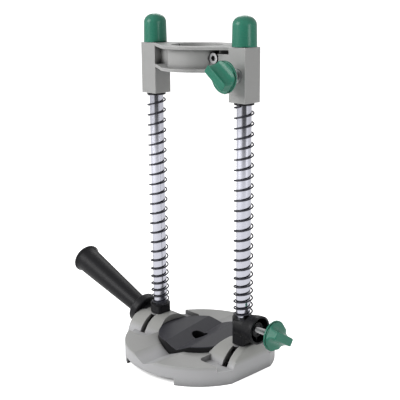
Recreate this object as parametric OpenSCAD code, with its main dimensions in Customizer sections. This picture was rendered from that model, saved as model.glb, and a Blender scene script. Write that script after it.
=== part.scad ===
// Portable drill stand: a round cast base, two sprung guide posts that tilt
// together on saddles, and a sliding yoke whose collar clamps the drill's neck.
// Millimetres. Origin: centre of the base on the bench, +Z up, posts along X.

/* [Base casting] */
// Distance of the end flats inside the round outline
flat_inset = 4.4; // [4:0.1:5.2]
// Distance of the end flats from the rods
rod_inset = 9.9; // [9.4:0.1:11]
// Height of the deck
deck_h = 16.7; // [16:0.1:18]
// Wall thickness of the casting
base_wall = 3; // [2.4:0.1:3.4]
// Rounding of the rim's upper edge
rim_round = 1; // [0.4:0.1:2]
// Half width of the vee across the deck
deck_vee_half_w = 14.5; // [10:0.5:18]
// Depth of the vee across the deck
deck_vee_depth = 5.6; // [4:0.1:6.5]
// Half length of the chip notch under the rim
notch_half_len = 29.5; // [20:0.5:32]
// Height of the chip notch
notch_h = 5.7; // [3:0.1:7]
// Thickness of the ribs under the deck
rib_t = 2.4; // [1.6:0.1:3]

/* [Tilt saddles] */
// Height of the tilt axis over the bench
tilt_axis_h = 2.9; // [2.5:0.1:3.3]
// Radius of the saddles
saddle_r = 24; // [23.6:0.1:24.6]
// Width of the arc slots
slot_w = 5.8; // [4.6:0.1:6]
// Length of the saddles up to the insert's well
saddle_len = 24.8; // [24:0.1:26]
// Length by which the left saddle stands out past the flat
saddle_ext = 10; // [8:0.5:12]
// Rounding of the saddles' outer edges
saddle_round = 1.4; // [0.6:0.1:2]
// Tilt range of the posts in degrees
tilt_deg = 45; // [30:1:45]
// Half angle of the key that runs in the slot
key_half_deg = 22; // [16:1:23]
// Free angle left at each end of the slot
key_play_deg = 2.5; // [1:0.5:3]
// Depth of the pockets beside the saddles
pocket_depth = 4.5; // [3.8:0.1:5]
// Width of the pockets beside the saddles
pocket_w = 11; // [10:0.5:14]
// Length of the pockets from the end flats inwards
pocket_len = 27.7; // [26:0.1:30]
// Corner radius of the pockets
pocket_corner_r = 5; // [2:0.5:6]

/* [Drill insert] */
// Height of the insert's top face over the deck
insert_rise = 4.9; // [3.8:0.1:6]
// Depth of the seat that the insert rests on
seat_depth = 7.9; // [7.3:0.1:8.5]
// Bevel round the insert's top face
insert_bevel = 0.5; // [0.2:0.1:1]
// Half width of the vee in the insert
insert_vee_half_w = 12.6; // [9:0.2:15]
// Depth of the vee in the insert
insert_vee_depth = 4.85; // [3:0.05:5.5]
// Radius of the drill hole
drill_hole_r = 7; // [4:0.5:8]
// Radius of the insert's spigot
spigot_r = 12; // [11:0.5:14]
// Wall thickness of the insert
insert_wall = 3; // [2:0.1:4]
// Angle at which the insert stands
insert_turn_deg = 12; // [0:1:30]

/* [Guide posts] */
// Diameter of the rods
rod_d = 12; // [11.6:0.1:12.2]
// Height of the rods' lower ends over the saddles
rod_lift = 1.6; // [1.3:0.1:2.1]
// Height of the rods' upper ends
rod_top_h = 288; // [280:1:289]
// Width of the square feet
foot_w = 14.2; // [13.8:0.1:14.6]
// Rounding of the feet's upright edges
foot_round = 3; // [1:0.5:4]
// Height of the left foot's spring seat over the saddle
foot_left_rise = 7.9; // [7.1:0.1:11]
// Height of the right foot's spring seat over the lock's axis
foot_right_rise = 6.9; // [6:0.1:8]
// Radius of the spring seats
spring_seat_r = 8.9; // [8.5:0.1:9.4]
// Thickness of the spring seats
spring_seat_t = 1.5; // [1:0.1:2]
// Height of the green end caps
cap_h = 23.6; // [22:0.2:28]
// Depth of the rod's bore in a cap
cap_bore_depth = 19.1; // [16:0.1:20]
// Radius of an end cap at its foot
cap_r = 9.8; // [9:0.1:10.2]
// Radius of an end cap below its dome
cap_top_r = 9.5; // [8.8:0.1:9.8]
// Height of the cap's dome
cap_dome_h = 3; // [2:0.2:5]

/* [Angle lock] */
// Height of the angle lock's axis over the saddle
lock_axis_up = 15.2; // [14.8:0.1:16]
// Radius of the lock barrel at the post
barrel_r = 10.4; // [10:0.1:12]
// Radius of the lock barrel at the cup's rim
barrel_rim_r = 11.8; // [11:0.1:13]
// Length of the barrel on the inner side of the rod
barrel_root = 4.3; // [3:0.1:5]
// Reach of the barrel past the rod
barrel_reach = 18.7; // [17:0.1:22]
// Length of the cup in the barrel's end
cup_depth = 9; // [7:0.5:9.5]
// Wall thickness of the cup
cup_wall = 1.6; // [1.2:0.1:2.5]
// Length of stud between the barrel and the knob
lock_standoff = 10; // [6:0.1:11]

/* [Springs] */
// Diameter of the spring wire
wire_d = 1.6; // [1.2:0.1:1.7]
// Outer diameter of the springs
spring_od = 16.4; // [16:0.1:17]
// Number of turns in each spring
spring_turns = 23; // [20:1:25]
// Pitch of the closed turns at the lower end
closed_pitch = 2; // [1.9:0.1:2.4]
// Number of turns over which the pitch opens out
closing_turns = 6; // [4:1:8]

/* [Yoke] */
// Width of the end blocks along X
block_w = 17.1; // [16.6:0.1:18]
// Depth of the end blocks along Y
block_d = 17.2; // [16.6:0.1:18]
// Height of the end blocks
block_h = 42.4; // [41.6:0.1:44]
// Radius of the collar bore
collar_r = 21.5; // [20:0.1:21.9]
// Wall thickness of the collar
collar_wall = 2.8; // [2.4:0.1:3]
// Height of the collar
collar_h = 19.9; // [18:0.1:21]
// Width of the two flanges around the collar
flange_w = 6.7; // [5:0.1:8]
// Thickness of the flanges
flange_t = 2.4; // [2:0.1:3]
// Thickness of the web beside the collar
web_t = 3.5; // [2.5:0.1:5]

/* [Collar clamp] */
// Diameter of the clamp screw
clamp_screw_d = 5; // [4:0.5:5]
// Length of the clamp lug past its screw
lug_len = 6.2; // [5.5:0.1:7]
// Wall between the clamp lug's end and the end block
lug_root = 7.25; // [6.5:0.05:8]
// Height of the clamp screw over the yoke's lower flange
clamp_screw_up = 10.6; // [9.5:0.1:11.5]
// Width of the slit through the collar
slit_w = 2.5; // [1.5:0.1:3]
// Height of the lug on the fixed side of the slit
lug_h = 14.2; // [13:0.1:15]

/* [Clamp knobs] */
// Radius of a knob's disc
knob_r = 12.6; // [11:0.1:13]
// Overall length of a knob
knob_len = 16; // [15:0.5:20]
// Thickness of a knob's wing at its waist
wing_t = 4.4; // [3:0.1:6]
// Width of a knob's wing across its outer face
wing_face_w = 7.4; // [6:0.1:8]
// Length of a knob's wing at its outer face
wing_len = 27; // [22:0.5:28]
// Length of a knob's wing at its disc
wing_root_len = 20; // [16:0.5:23]
// Height of a knob's wing above its disc
wing_h = 8.9; // [8:0.1:11]
// Diameter of the knob studs
stud_d = 5; // [4:0.5:5]
// Height of the height lock's axis over the block's lower face
height_lock_up = 21; // [18:0.1:23]
// Length of stud between the sleeve and the knob
height_lock_standoff = 7; // [3:0.1:8]

/* [Handle] */
// Rise of the handle in degrees
handle_rise_deg = 19.4; // [10:0.2:25]
// Height of the handle's axis over the tilt axis, at the end flat
handle_root_up = 14.1; // [13:0.1:14.7]
// Distance of the guard's hub from the end flat
handle_boss_len = 6; // [5:0.1:8]
// Radius of the boss
handle_boss_r = 11.6; // [10.6:0.1:13]
// Radius of the guard
guard_r = 14.9; // [13:0.1:16]
// Length of the guard
guard_len = 12.3; // [11:0.1:14]
// Length of the grip
grip_len = 93; // [80:1:110]
// Length of the grip's flare
grip_flare_len = 11; // [8:0.5:14]
// Radius of the grip at the guard
grip_root_r = 8.3; // [7.6:0.1:9]
// Radius of the grip at its neck
grip_neck_r = 12; // [10.5:0.1:12.6]
// Radius of the grip's flared end
grip_end_r = 14; // [13:0.1:15]
// Diameter of the stud that carries the handle
handle_stud_d = 8; // [6:0.5:8]

/* [Fits] */
// Radial clearance of turning and sliding fits
running_gap = 0.05; // [0.02:0.01:0.08]
// Clearance of the saddle joint
saddle_gap = 0.1; // [0.05:0.01:0.1]
// Clearance of loose holes
hole_gap = 0.3; // [0.2:0.05:0.4]

/* [Hidden] */
// Overrun of every cut past the face that it opens
cut = 1;
// Facets of large, small and wire circles
big_fn = 96;
fine_fn = 48;
wire_fn = 6;
coil_steps = 14;
hex_fn = 6;
hex_share = 1 / cos(30);
flare_step_deg = 15;
flare_end_deg = 75;

// Bench screws under the feet, their washers and the shoes that they pull up
post_screw_r = 2;
post_screw_len = 20.6;
post_head_r = 3.5;
post_head_h = 4;
post_washer_r = 4;
post_washer_t = 1;
post_thread_depth = 11.5;
shoe_t = 5.4;
shoe_half_w = 6;

// Small parts of the angle lock
nut_flat_w = 8;
nut_t = 4;
nut_setback = 2;
lock_boss_r = 6.2;
lock_boss_len = 6.5;
cup_rib_t = 1.6;
cup_rib_len = 5.5;
barrel_chamfer = 2.4;
stud_tip_len = 2;

// Small parts of the height lock
sleeve_flange_r = 5.5;
sleeve_flange_t = 1.4;
sleeve_r = 4;
pad_t = 0.85;

// Guide bushes in the yoke's end blocks
bush_wall = 0.85;
bush_len = 14;
bush_flange_r = 8;
bush_flange_t = 1.8;

// Small parts of the yoke and its collar clamp
clamp_head_r = 4.25;
clamp_head_h = 5;
clamp_head_sink = 4.2;
clamp_recess_r = 5.1;
clamp_socket_w = 4;
clamp_socket_depth = 2.6;
clamp_lug_d = 8.5;
clamp_relief = 1.6;
clamp_nut_t = 4;

// Shapes of the knobs, the grip and the rods' ends
knob_back_r = 5.5;
knob_disc_t = 2.4;
knob_step = 1.2;
knob_scoop_r = 5.5;
knob_scoop_dip = 0.5;
knob_stud_depth = 8;
grip_dome_len = 6;
grip_bore_len = 46;
guard_hub_r = 9.3;
guard_hub_len = 4.4;
guard_rim_t = 3;
handle_stud_root = 1;
rod_chamfer = 0.8;
cap_gap = 0.2;
seat_gap = 0.05;

collar_out_r = collar_r + collar_wall;
clamp_screw_x = collar_out_r + clamp_screw_d / 2;
clamp_lug_x = clamp_screw_x + lug_len;
flange_r = collar_out_r + flange_w;
block_inner_x = clamp_lug_x + slit_w + lug_root;
rod_x = block_inner_x + block_w / 2;
rod_r = rod_d / 2;
stud_r = stud_d / 2;
base_half_w = rod_x + rod_inset;
base_r = base_half_w + flat_inset;
well_r = base_half_w - saddle_len;
insert_r = well_r - hole_gap;
insert_top_h = deck_h + insert_rise;
seat_h = deck_h - seat_depth;
pocket_floor_h = deck_h - pocket_depth;
pocket_half_y = saddle_r + pocket_w;
pocket_x = base_half_w - pocket_len;
saddle_top_h = tilt_axis_h + saddle_r;
saddle_inner_r = saddle_r - base_wall;
rod_bottom_h = saddle_top_h + rod_lift;
foot_left_top_h = saddle_top_h + foot_left_rise;
lock_axis_h = saddle_top_h + lock_axis_up;
foot_right_top_h = lock_axis_h + foot_right_rise;
barrel_start_x = rod_x - barrel_root;
barrel_end_x = rod_x + barrel_reach;
rib_foot_h = rib_t / 2;
slot_back_deg = key_half_deg + key_play_deg;
slot_front_deg = tilt_deg + key_half_deg + key_play_deg;
shoe_top_r = saddle_inner_r - saddle_gap;
shoe_bottom_h = tilt_axis_h + shoe_top_r - shoe_t;
key_w = slot_w - 2 * hole_gap;
cap_bottom_h = rod_top_h - cap_bore_depth;
block_top_h = cap_bottom_h - cap_gap;
block_bottom_h = block_top_h - block_h;
collar_bottom_h = block_top_h - collar_h;
clamp_h = collar_bottom_h + clamp_screw_up;
clamp_head_y = -block_d / 2 + clamp_head_sink;
height_lock_h = block_bottom_h + height_lock_up;
block_face_y = -block_d / 2;
spring_r = (spring_od - wire_d) / 2;
bush_r = rod_r + running_gap + bush_wall;
lock_stud_start_x = rod_x + rod_r + running_gap;
lock_knob_x = barrel_end_x + lock_standoff;
height_knob_y = block_face_y - sleeve_flange_t - height_lock_standoff;
handle_foot = [-base_half_w, 0, tilt_axis_h + handle_root_up];
guard_seat = handle_boss_len + guard_hub_len - hole_gap;

// A round bar along X through both saddles, about the tilt axis
module saddle_bar(r, half_len) {
    translate([-half_len, 0, tilt_axis_h])
        rotate([0, 90, 0])
            cylinder(r = r, h = 2 * half_len, $fn = big_fn);
}

// A ring sector about the tilt axis; angles run from upright towards -Y
module tilt_arc(x, r_in, r_out, width, from_deg, to_deg) {
    translate([x, 0, tilt_axis_h])
        rotate([0, -90, 180])
            rotate([0, 0, from_deg])
                rotate_extrude(angle = to_deg - from_deg, $fn = big_fn)
                    translate([r_in, -width / 2])
                        square([r_out - r_in, width]);
}

// The base's plan, inset by a wall, from below the bench up to a height
module base_plan(inset, top_h) {
    intersection() {
        translate([0, 0, -cut])
            cylinder(r = base_r - inset, h = top_h + cut, $fn = big_fn);
        translate([inset - base_half_w, -base_r, -cut])
            cube([2 * (base_half_w - inset), 2 * base_r, top_h + cut]);
    }
}

// The vee across the deck, lowered by a wall for the casting's underside
module deck_vee(wall) {
    rise = cut * deck_vee_depth / deck_vee_half_w;
    translate([0, base_r + cut, -wall])
        rotate([90, 0, 0])
            linear_extrude(2 * (base_r + cut))
                polygon([
                    [0, deck_h - deck_vee_depth],
                    [deck_vee_half_w + cut, deck_h + rise],
                    [deck_vee_half_w + cut, deck_h + wall + cut],
                    [-deck_vee_half_w - cut, deck_h + wall + cut],
                    [-deck_vee_half_w - cut, deck_h + rise]
                ]);
}

// The four pockets that let the feet swing, grown by a wall for the underside
module foot_pockets(wall) {
    corner_r = pocket_corner_r + wall;
    for (side = [-1, 1], end = [-1, 1])
        scale([side, end, 1])
            translate([pocket_x - wall, 0, pocket_floor_h - wall])
                union() {
                    translate([corner_r, 0, 0])
                        cube([base_r, pocket_half_y + wall, deck_h]);
                    cube([base_r, pocket_half_y + wall - corner_r, deck_h]);
                    translate([corner_r, pocket_half_y + wall - corner_r, 0])
                        cylinder(r = corner_r, h = deck_h, $fn = fine_fn);
                }
}

// Ribs under the deck, from the insert's seat out to the rim
module deck_ribs() {
    for (turn = [45 : 90 : 315])
        rotate([0, 0, turn])
            translate([well_r, -rib_t / 2, rib_foot_h])
                cube([base_r - well_r - base_wall / 2, rib_t, deck_h - rib_foot_h]);
    for (turn = [75 : 30 : 105], side = [0, 180])
        rotate([0, 0, turn + side])
            translate([well_r, -rib_t / 2, notch_h + rib_foot_h])
                cube([base_r - well_r - base_wall / 2, rib_t, deck_h - notch_h - rib_foot_h]);
}

// The hollow in the left saddle's end, round the boss and the guard's seat
module saddle_end_hollow() {
    difference() {
        translate([-base_half_w - saddle_ext + base_wall, 0, tilt_axis_h])
            rotate([0, 90, 0])
                cylinder(r = saddle_inner_r, h = saddle_ext - base_wall, $fn = big_fn);
        along_handle(-handle_boss_r)
            cylinder(r = handle_boss_r, h = 2 * handle_boss_r + saddle_ext, $fn = fine_fn);
        along_handle(guard_seat - base_wall)
            cylinder(r = guard_r + hole_gap + base_wall, h = base_r, $fn = fine_fn);
    }
}

// A saddle's outline with rounded end edges, from one end along X to the other
module saddle_body(start_x, end_x) {
    intersection() {
        translate([start_x, 0, tilt_axis_h])
            rotate([0, 90, 0])
                rotate_extrude($fn = big_fn)
                    union() {
                        square([saddle_r - saddle_round, end_x - start_x]);
                        translate([0, saddle_round])
                            square([saddle_r, end_x - start_x - 2 * saddle_round]);
                        for (end = [saddle_round, end_x - start_x - saddle_round])
                            translate([saddle_r - saddle_round, end])
                                circle(r = saddle_round, $fn = fine_fn);
                    }
        translate([start_x - cut, -saddle_r - cut, 0])
            cube([end_x - start_x + 2 * cut, 2 * saddle_r + 2 * cut, saddle_top_h + cut]);
    }
}

// The hollow under the casting
module base_hollow() {
    difference() {
        union() {
            difference() {
                base_plan(base_wall, deck_h - base_wall);
                deck_vee(base_wall);
                foot_pockets(base_wall);
                deck_ribs();
            }
            intersection() {
                saddle_bar(saddle_inner_r, base_half_w - base_wall);
                base_plan(base_wall, saddle_top_h);
            }
            saddle_end_hollow();
        }
        translate([0, 0, seat_h - base_wall])
            cylinder(r = well_r + base_wall, h = saddle_top_h, $fn = big_fn);
    }
}

// Places a child with its Z along the handle's axis, a distance from the base
module along_handle(distance) {
    translate(handle_foot)
        rotate([0, handle_rise_deg - 90, 0])
            translate([0, 0, distance])
                children();
}

module base() {
    color("darkgray")
        difference() {
            union() {
                intersection() {
                    rotate_extrude($fn = big_fn)
                        union() {
                            square([base_r - rim_round, deck_h]);
                            square([base_r, deck_h - rim_round]);
                            translate([base_r - rim_round, deck_h - rim_round])
                                circle(r = rim_round, $fn = fine_fn);
                        }
                    base_plan(0, deck_h);
                }
                saddle_body(-base_half_w - saddle_ext, base_half_w);
            }
            translate([0, 0, seat_h])
                cylinder(r = well_r, h = saddle_top_h, $fn = big_fn);
            translate([0, 0, seat_h - base_wall - cut])
                cylinder(r = spigot_r + saddle_gap, h = base_wall + 2 * cut, $fn = fine_fn);
            deck_vee(0);
            difference() {
                foot_pockets(0);
                saddle_bar(saddle_r, base_r + saddle_ext);
            }
            for (side = [-1, 1])
                tilt_arc(side * rod_x, saddle_inner_r - cut, saddle_r + cut, slot_w, -slot_back_deg, slot_front_deg);
            base_hollow();
            for (end = [-1, 1])
                scale([1, end, 1])
                    translate([-notch_half_len, well_r + 2 * base_wall, -cut])
                        cube([2 * notch_half_len, base_r - well_r, notch_h + cut]);
            along_handle(handle_boss_len)
                cylinder(r = guard_hub_r + hole_gap, h = guard_r, $fn = fine_fn);
            along_handle(guard_seat)
                cylinder(r = guard_r + hole_gap, h = guard_r, $fn = fine_fn);
            along_handle(-handle_stud_root - cut)
                cylinder(d = handle_stud_d + 2 * running_gap, h = handle_boss_len + 2 * cut + handle_stud_root, $fn = fine_fn);
        }
}

module handle_stud() {
    color("silver")
        along_handle(-handle_stud_root)
            cylinder(d = handle_stud_d, h = handle_stud_root + handle_boss_len + guard_len + grip_bore_len - cut, $fn = fine_fn);
}

module handle_guard() {
    rim_r = guard_rim_t / 2;
    color("black")
        along_handle(handle_boss_len)
            rotate_extrude($fn = fine_fn)
                difference() {
                    union() {
                        square([guard_hub_r, guard_len]);
                        translate([0, guard_hub_len])
                            square([guard_r - rim_r, guard_len - guard_hub_len]);
                        translate([0, guard_hub_len + rim_r])
                            square([guard_r, guard_len - guard_hub_len - guard_rim_t]);
                        for (end = [guard_hub_len + rim_r, guard_len - rim_r])
                            translate([guard_r - rim_r, end])
                                circle(r = rim_r, $fn = fine_fn);
                    }
                    translate([0, -cut])
                        square([handle_stud_d / 2 + running_gap, guard_len + 2 * cut]);
                }
}

module handle_grip() {
    neck = grip_len - grip_flare_len - grip_dome_len;
    brow = grip_len - grip_dome_len;
    flare = [
        for (turn = [0 : flare_step_deg : flare_end_deg])
            [
                grip_neck_r + (grip_end_r - grip_neck_r) * (1 - cos(turn)),
                neck + grip_flare_len * sin(turn)
            ]
    ];
    color("black")
        along_handle(handle_boss_len + guard_len)
            rotate_extrude($fn = fine_fn)
                difference() {
                    union() {
                        polygon(concat([[0, 0], [grip_root_r, 0]], flare, [[grip_end_r, brow], [0, brow]]));
                        intersection() {
                            translate([0, brow])
                                scale([grip_end_r / grip_dome_len, 1])
                                    circle(r = grip_dome_len, $fn = fine_fn);
                            translate([0, brow])
                                square([grip_end_r, grip_dome_len]);
                        }
                    }
                    translate([0, -cut])
                        square([handle_stud_d / 2 + running_gap, grip_bore_len + cut]);
                }
}

// The insert's vee along its own Y
module insert_vee() {
    rise = cut * insert_vee_depth / insert_vee_half_w;
    translate([0, insert_r + cut, insert_top_h])
        rotate([90, 0, 0])
            linear_extrude(2 * (insert_r + cut))
                polygon([
                    [0, -insert_vee_depth],
                    [insert_vee_half_w + cut, rise],
                    [-insert_vee_half_w - cut, rise]
                ]);
}

module drill_insert() {
    spigot_h = base_wall - saddle_gap;
    hollow_top_h = insert_top_h - insert_vee_depth - insert_wall;
    color("dimgray")
        rotate([0, 0, insert_turn_deg])
            difference() {
                union() {
                    translate([0, 0, seat_h + seat_gap])
                        cylinder(r = insert_r, h = insert_top_h - insert_bevel - seat_h - seat_gap, $fn = big_fn);
                    translate([0, 0, insert_top_h - insert_bevel])
                        cylinder(r1 = insert_r, r2 = insert_r - insert_bevel, h = insert_bevel, $fn = big_fn);
                    translate([0, 0, seat_h - spigot_h])
                        cylinder(r = spigot_r, h = base_wall, $fn = fine_fn);
                }
                insert_vee();
                difference() {
                    translate([0, 0, seat_h - cut])
                        cylinder(r = insert_r - insert_wall, h = hollow_top_h - seat_h + cut, $fn = big_fn);
                    cylinder(r = spigot_r, h = insert_top_h, $fn = fine_fn);
                }
                cylinder(r = drill_hole_r, h = insert_top_h + cut, $fn = fine_fn);
            }
}

// A foot's plan: a square with rounded corners
module foot_plan() {
    half_w = foot_w / 2;
    corner = half_w - foot_round;
    union() {
        translate([-half_w, -corner])
            square([foot_w, 2 * corner]);
        translate([-corner, -half_w])
            square([2 * corner, foot_w]);
        for (side = [-corner, corner], end = [-corner, corner])
            translate([side, end])
                circle(r = foot_round, $fn = fine_fn);
    }
}

// A foot's square column, hollowed to sit on its saddle, with its spring seat
module foot_column(x, top_h) {
    difference() {
        union() {
            translate([x, 0, tilt_axis_h])
                linear_extrude(top_h - tilt_axis_h)
                    foot_plan();
            translate([x, 0, top_h - spring_seat_t])
                cylinder(r = spring_seat_r, h = spring_seat_t, $fn = fine_fn);
        }
        saddle_bar(saddle_r + saddle_gap, base_half_w + foot_w);
    }
}

// The seat for a rod and the screw that holds it from below
module rod_socket(x) {
    translate([x, 0, rod_bottom_h])
        cylinder(r = rod_r + running_gap, h = rod_top_h, $fn = fine_fn);
    translate([x, 0, tilt_axis_h])
        cylinder(r = post_screw_r + hole_gap, h = rod_bottom_h, $fn = fine_fn);
}

module foot_left() {
    color("black")
        difference() {
            foot_column(-rod_x, foot_left_top_h);
            rod_socket(-rod_x);
        }
}

// The lock barrel's outline along X, turned about its axis
module barrel_body() {
    translate([0, 0, lock_axis_h])
        rotate([0, 90, 0])
            rotate_extrude($fn = fine_fn)
                polygon([
                    [0, barrel_start_x],
                    [barrel_r - barrel_chamfer, barrel_start_x],
                    [barrel_r, barrel_start_x + barrel_chamfer],
                    [barrel_r, rod_x + foot_w / 2],
                    [barrel_rim_r, barrel_end_x - cup_depth / 3],
                    [barrel_rim_r, barrel_end_x],
                    [0, barrel_end_x]
                ]);
}

// The open cup in the barrel's end, with its ribs and its central boss left in
module barrel_cup() {
    floor_x = barrel_end_x - cup_depth;
    difference() {
        translate([floor_x, 0, lock_axis_h])
            rotate([0, 90, 0])
                cylinder(r = barrel_rim_r - cup_wall, h = cup_depth + cut, $fn = fine_fn);
        translate([floor_x - cut, 0, lock_axis_h])
            rotate([0, 90, 0])
                cylinder(r = lock_boss_r, h = lock_boss_len + cut, $fn = fine_fn);
        for (turn = [0, 90])
            translate([floor_x - cut, 0, lock_axis_h])
                rotate([turn, 0, 0])
                    translate([0, -barrel_r, -cup_rib_t / 2])
                        cube([cup_rib_len + cut, 2 * barrel_r, cup_rib_t]);
    }
}

module foot_right() {
    floor_x = barrel_end_x - cup_depth;
    color("black")
        difference() {
            union() {
                foot_column(rod_x, foot_right_top_h);
                difference() {
                    barrel_body();
                    translate([0, -2 * barrel_r, foot_right_top_h])
                        cube([rod_x + spring_seat_r, 4 * barrel_r, 2 * barrel_r]);
                }
            }
            saddle_bar(saddle_r + saddle_gap, base_half_w + foot_w);
            rod_socket(rod_x);
            barrel_cup();
            translate([rod_x, 0, lock_axis_h])
                rotate([0, 90, 0])
                    cylinder(r = stud_r + running_gap, h = base_r, $fn = fine_fn);
            translate([floor_x + nut_setback, 0, lock_axis_h])
                rotate([0, 90, 0])
                    cylinder(d = nut_flat_w * hex_share + 2 * running_gap, h = base_r, $fn = hex_fn);
        }
}

// The shoe below a saddle, with the key that runs in its slot
module clamp_shoe(x) {
    half_y = shoe_top_r * sin(key_half_deg);
    difference() {
        union() {
            intersection() {
                saddle_bar(shoe_top_r, base_half_w);
                translate([x - shoe_half_w, -half_y, shoe_bottom_h])
                    cube([2 * shoe_half_w, 2 * half_y, saddle_r]);
            }
            tilt_arc(x, shoe_top_r - cut, saddle_r - saddle_gap, key_w, -key_half_deg, key_half_deg);
        }
        translate([x, 0, shoe_bottom_h - cut])
            cylinder(r = post_screw_r + hole_gap, h = saddle_r, $fn = fine_fn);
    }
}

module clamp_shoe_left() {
    color("silver") clamp_shoe(-rod_x);
}

module clamp_shoe_right() {
    color("silver") clamp_shoe(rod_x);
}

module post_screws() {
    head_top_h = shoe_bottom_h - post_washer_t;
    color("silver")
        for (side = [-1, 1])
            translate([side * rod_x, 0, head_top_h])
                difference() {
                    union() {
                        cylinder(r = post_screw_r, h = post_screw_len, $fn = fine_fn);
                        translate([0, 0, -post_head_h])
                            cylinder(r = post_head_r, h = post_head_h, $fn = fine_fn);
                    }
                    translate([0, 0, -post_head_h - cut])
                        cylinder(r = post_screw_r * hex_share, h = post_head_h / 2 + cut, $fn = hex_fn);
                }
}

module post_washers() {
    color("silver")
        for (side = [-1, 1])
            translate([side * rod_x, 0, shoe_bottom_h - post_washer_t])
                difference() {
                    cylinder(r = post_washer_r, h = post_washer_t, $fn = fine_fn);
                    translate([0, 0, -cut])
                        cylinder(r = post_screw_r + running_gap, h = post_washer_t + 2 * cut, $fn = fine_fn);
                }
}

// A rod with chamfered ends and the thread for its screw
module rod(x) {
    translate([x, 0, 0])
        rotate_extrude($fn = fine_fn)
            polygon([
                [0, rod_bottom_h + post_thread_depth],
                [post_screw_r + running_gap, rod_bottom_h + post_thread_depth],
                [post_screw_r + running_gap, rod_bottom_h],
                [rod_r, rod_bottom_h],
                [rod_r, rod_top_h - rod_chamfer],
                [rod_r - rod_chamfer, rod_top_h],
                [0, rod_top_h]
            ]);
}

module rod_left() {
    color("gainsboro") rod(-rod_x);
}

module rod_right() {
    color("gainsboro") rod(rod_x);
}

// An end cap with a domed top and a blind bore for its rod
module cap(x) {
    top = cap_h - cap_dome_h;
    dome_r = (cap_top_r * cap_top_r + cap_dome_h * cap_dome_h) / (2 * cap_dome_h);
    translate([x, 0, cap_bottom_h])
        rotate_extrude($fn = fine_fn)
            difference() {
                union() {
                    polygon([
                        [0, 0],
                        [cap_r, 0],
                        [cap_top_r, top],
                        [0, top]
                    ]);
                    intersection() {
                        translate([0, cap_h - dome_r])
                            circle(r = dome_r, $fn = big_fn);
                        translate([0, top - cut])
                            square([cap_top_r, cap_dome_h + cut]);
                    }
                }
                translate([0, -cut])
                    square([rod_r + running_gap, cap_bore_depth + cut]);
            }
}

module cap_left() {
    color("seagreen") cap(-rod_x);
}

module cap_right() {
    color("seagreen") cap(rod_x);
}

// A hexagonal nut with its axis along Z
module hex_nut(thickness, hole_r) {
    difference() {
        cylinder(d = nut_flat_w * hex_share, h = thickness, $fn = hex_fn);
        translate([0, 0, -cut])
            cylinder(r = hole_r, h = thickness + 2 * cut, $fn = fine_fn);
    }
}

module angle_lock_nut() {
    color("silver")
        translate([barrel_end_x - cup_depth + nut_setback, 0, lock_axis_h])
            rotate([0, 90, 0])
                hex_nut(nut_t, stud_r + running_gap);
}

// A stud with a cone tip, from its tip along Z
module cone_stud(length) {
    translate([0, 0, stud_tip_len])
        cylinder(r = stud_r, h = length - stud_tip_len, $fn = fine_fn);
    cylinder(r1 = stud_r - stud_tip_len / 2, r2 = stud_r, h = stud_tip_len, $fn = fine_fn);
}

module angle_lock_stud() {
    color("silver")
        translate([lock_stud_start_x, 0, lock_axis_h])
            rotate([0, 90, 0])
                cone_stud(lock_knob_x + knob_stud_depth - lock_stud_start_x - running_gap);
}

// A wing knob along Z: cone, stepped disc and a flared wing left between two scoops
module wing_knob() {
    disc_top = knob_len - wing_h;
    disc_bottom = disc_top - knob_disc_t;
    difference() {
        union() {
            cylinder(r1 = knob_back_r, r2 = knob_r, h = disc_bottom, $fn = fine_fn);
            translate([0, 0, disc_bottom])
                cylinder(r = knob_r, h = knob_disc_t / 2, $fn = fine_fn);
            translate([0, 0, disc_bottom])
                cylinder(r = knob_r - knob_step, h = knob_disc_t, $fn = fine_fn);
            translate([0, wing_face_w / 2, 0])
                rotate([90, 0, 0])
                    linear_extrude(wing_face_w)
                        polygon([
                            [-wing_root_len / 2, disc_bottom],
                            [wing_root_len / 2, disc_bottom],
                            [wing_len / 2, knob_len],
                            [-wing_len / 2, knob_len]
                        ]);
        }
        for (side = [-1, 1])
            translate([-wing_len, side * (wing_t / 2 + knob_scoop_r), disc_top + knob_scoop_r - knob_scoop_dip])
                rotate([0, 90, 0])
                    cylinder(r = knob_scoop_r, h = 2 * wing_len, $fn = fine_fn);
        translate([0, 0, -cut])
            cylinder(r = stud_r + running_gap, h = knob_stud_depth + cut, $fn = fine_fn);
    }
}

// Directions in which the two wings stand
angle_wing_deg = -32;
height_wing_deg = -38;

module angle_lock_knob() {
    color("seagreen")
        translate([lock_knob_x, 0, lock_axis_h])
            rotate([angle_wing_deg, 0, 0])
                rotate([90, 0, 90])
                    wing_knob();
}

// Height of a coil after a number of turns: closed at the foot, then even
function open_pitch(length) =
    (length - closing_turns * closed_pitch / 2) / (spring_turns - closing_turns / 2);
function coil_height(turn, pitch) =
    turn < closing_turns
    ? closed_pitch * turn + (pitch - closed_pitch) * turn * turn / (2 * closing_turns)
    : closing_turns * (closed_pitch + pitch) / 2 + (turn - closing_turns) * pitch;

// A round wire coiled about Z from one height to another
module coil(bottom_h, top_h, start_deg) {
    wire_r = wire_d / 2;
    pitch = open_pitch(top_h - bottom_h - wire_d);
    rings = spring_turns * coil_steps;
    points = [
        for (i = [0 : rings], k = [0 : wire_fn - 1])
            let (
                turn = i / coil_steps,
                around = start_deg + 360 * turn,
                side = 360 * k / wire_fn,
                reach = spring_r + wire_r * cos(side)
            )
            [
                reach * cos(around),
                reach * sin(around),
                bottom_h + wire_r + coil_height(turn, pitch) + wire_r * sin(side)
            ]
    ];
    sides = [
        for (i = [0 : rings - 1], k = [0 : wire_fn - 1])
            let (next = (k + 1) % wire_fn)
            [i * wire_fn + k, i * wire_fn + next, (i + 1) * wire_fn + next, (i + 1) * wire_fn + k]
    ];
    start_face = [for (k = [wire_fn - 1 : -1 : 0]) k];
    end_face = [for (k = [0 : wire_fn - 1]) rings * wire_fn + k];
    polyhedron(points = points, faces = concat([start_face], sides, [end_face]));
}

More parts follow.
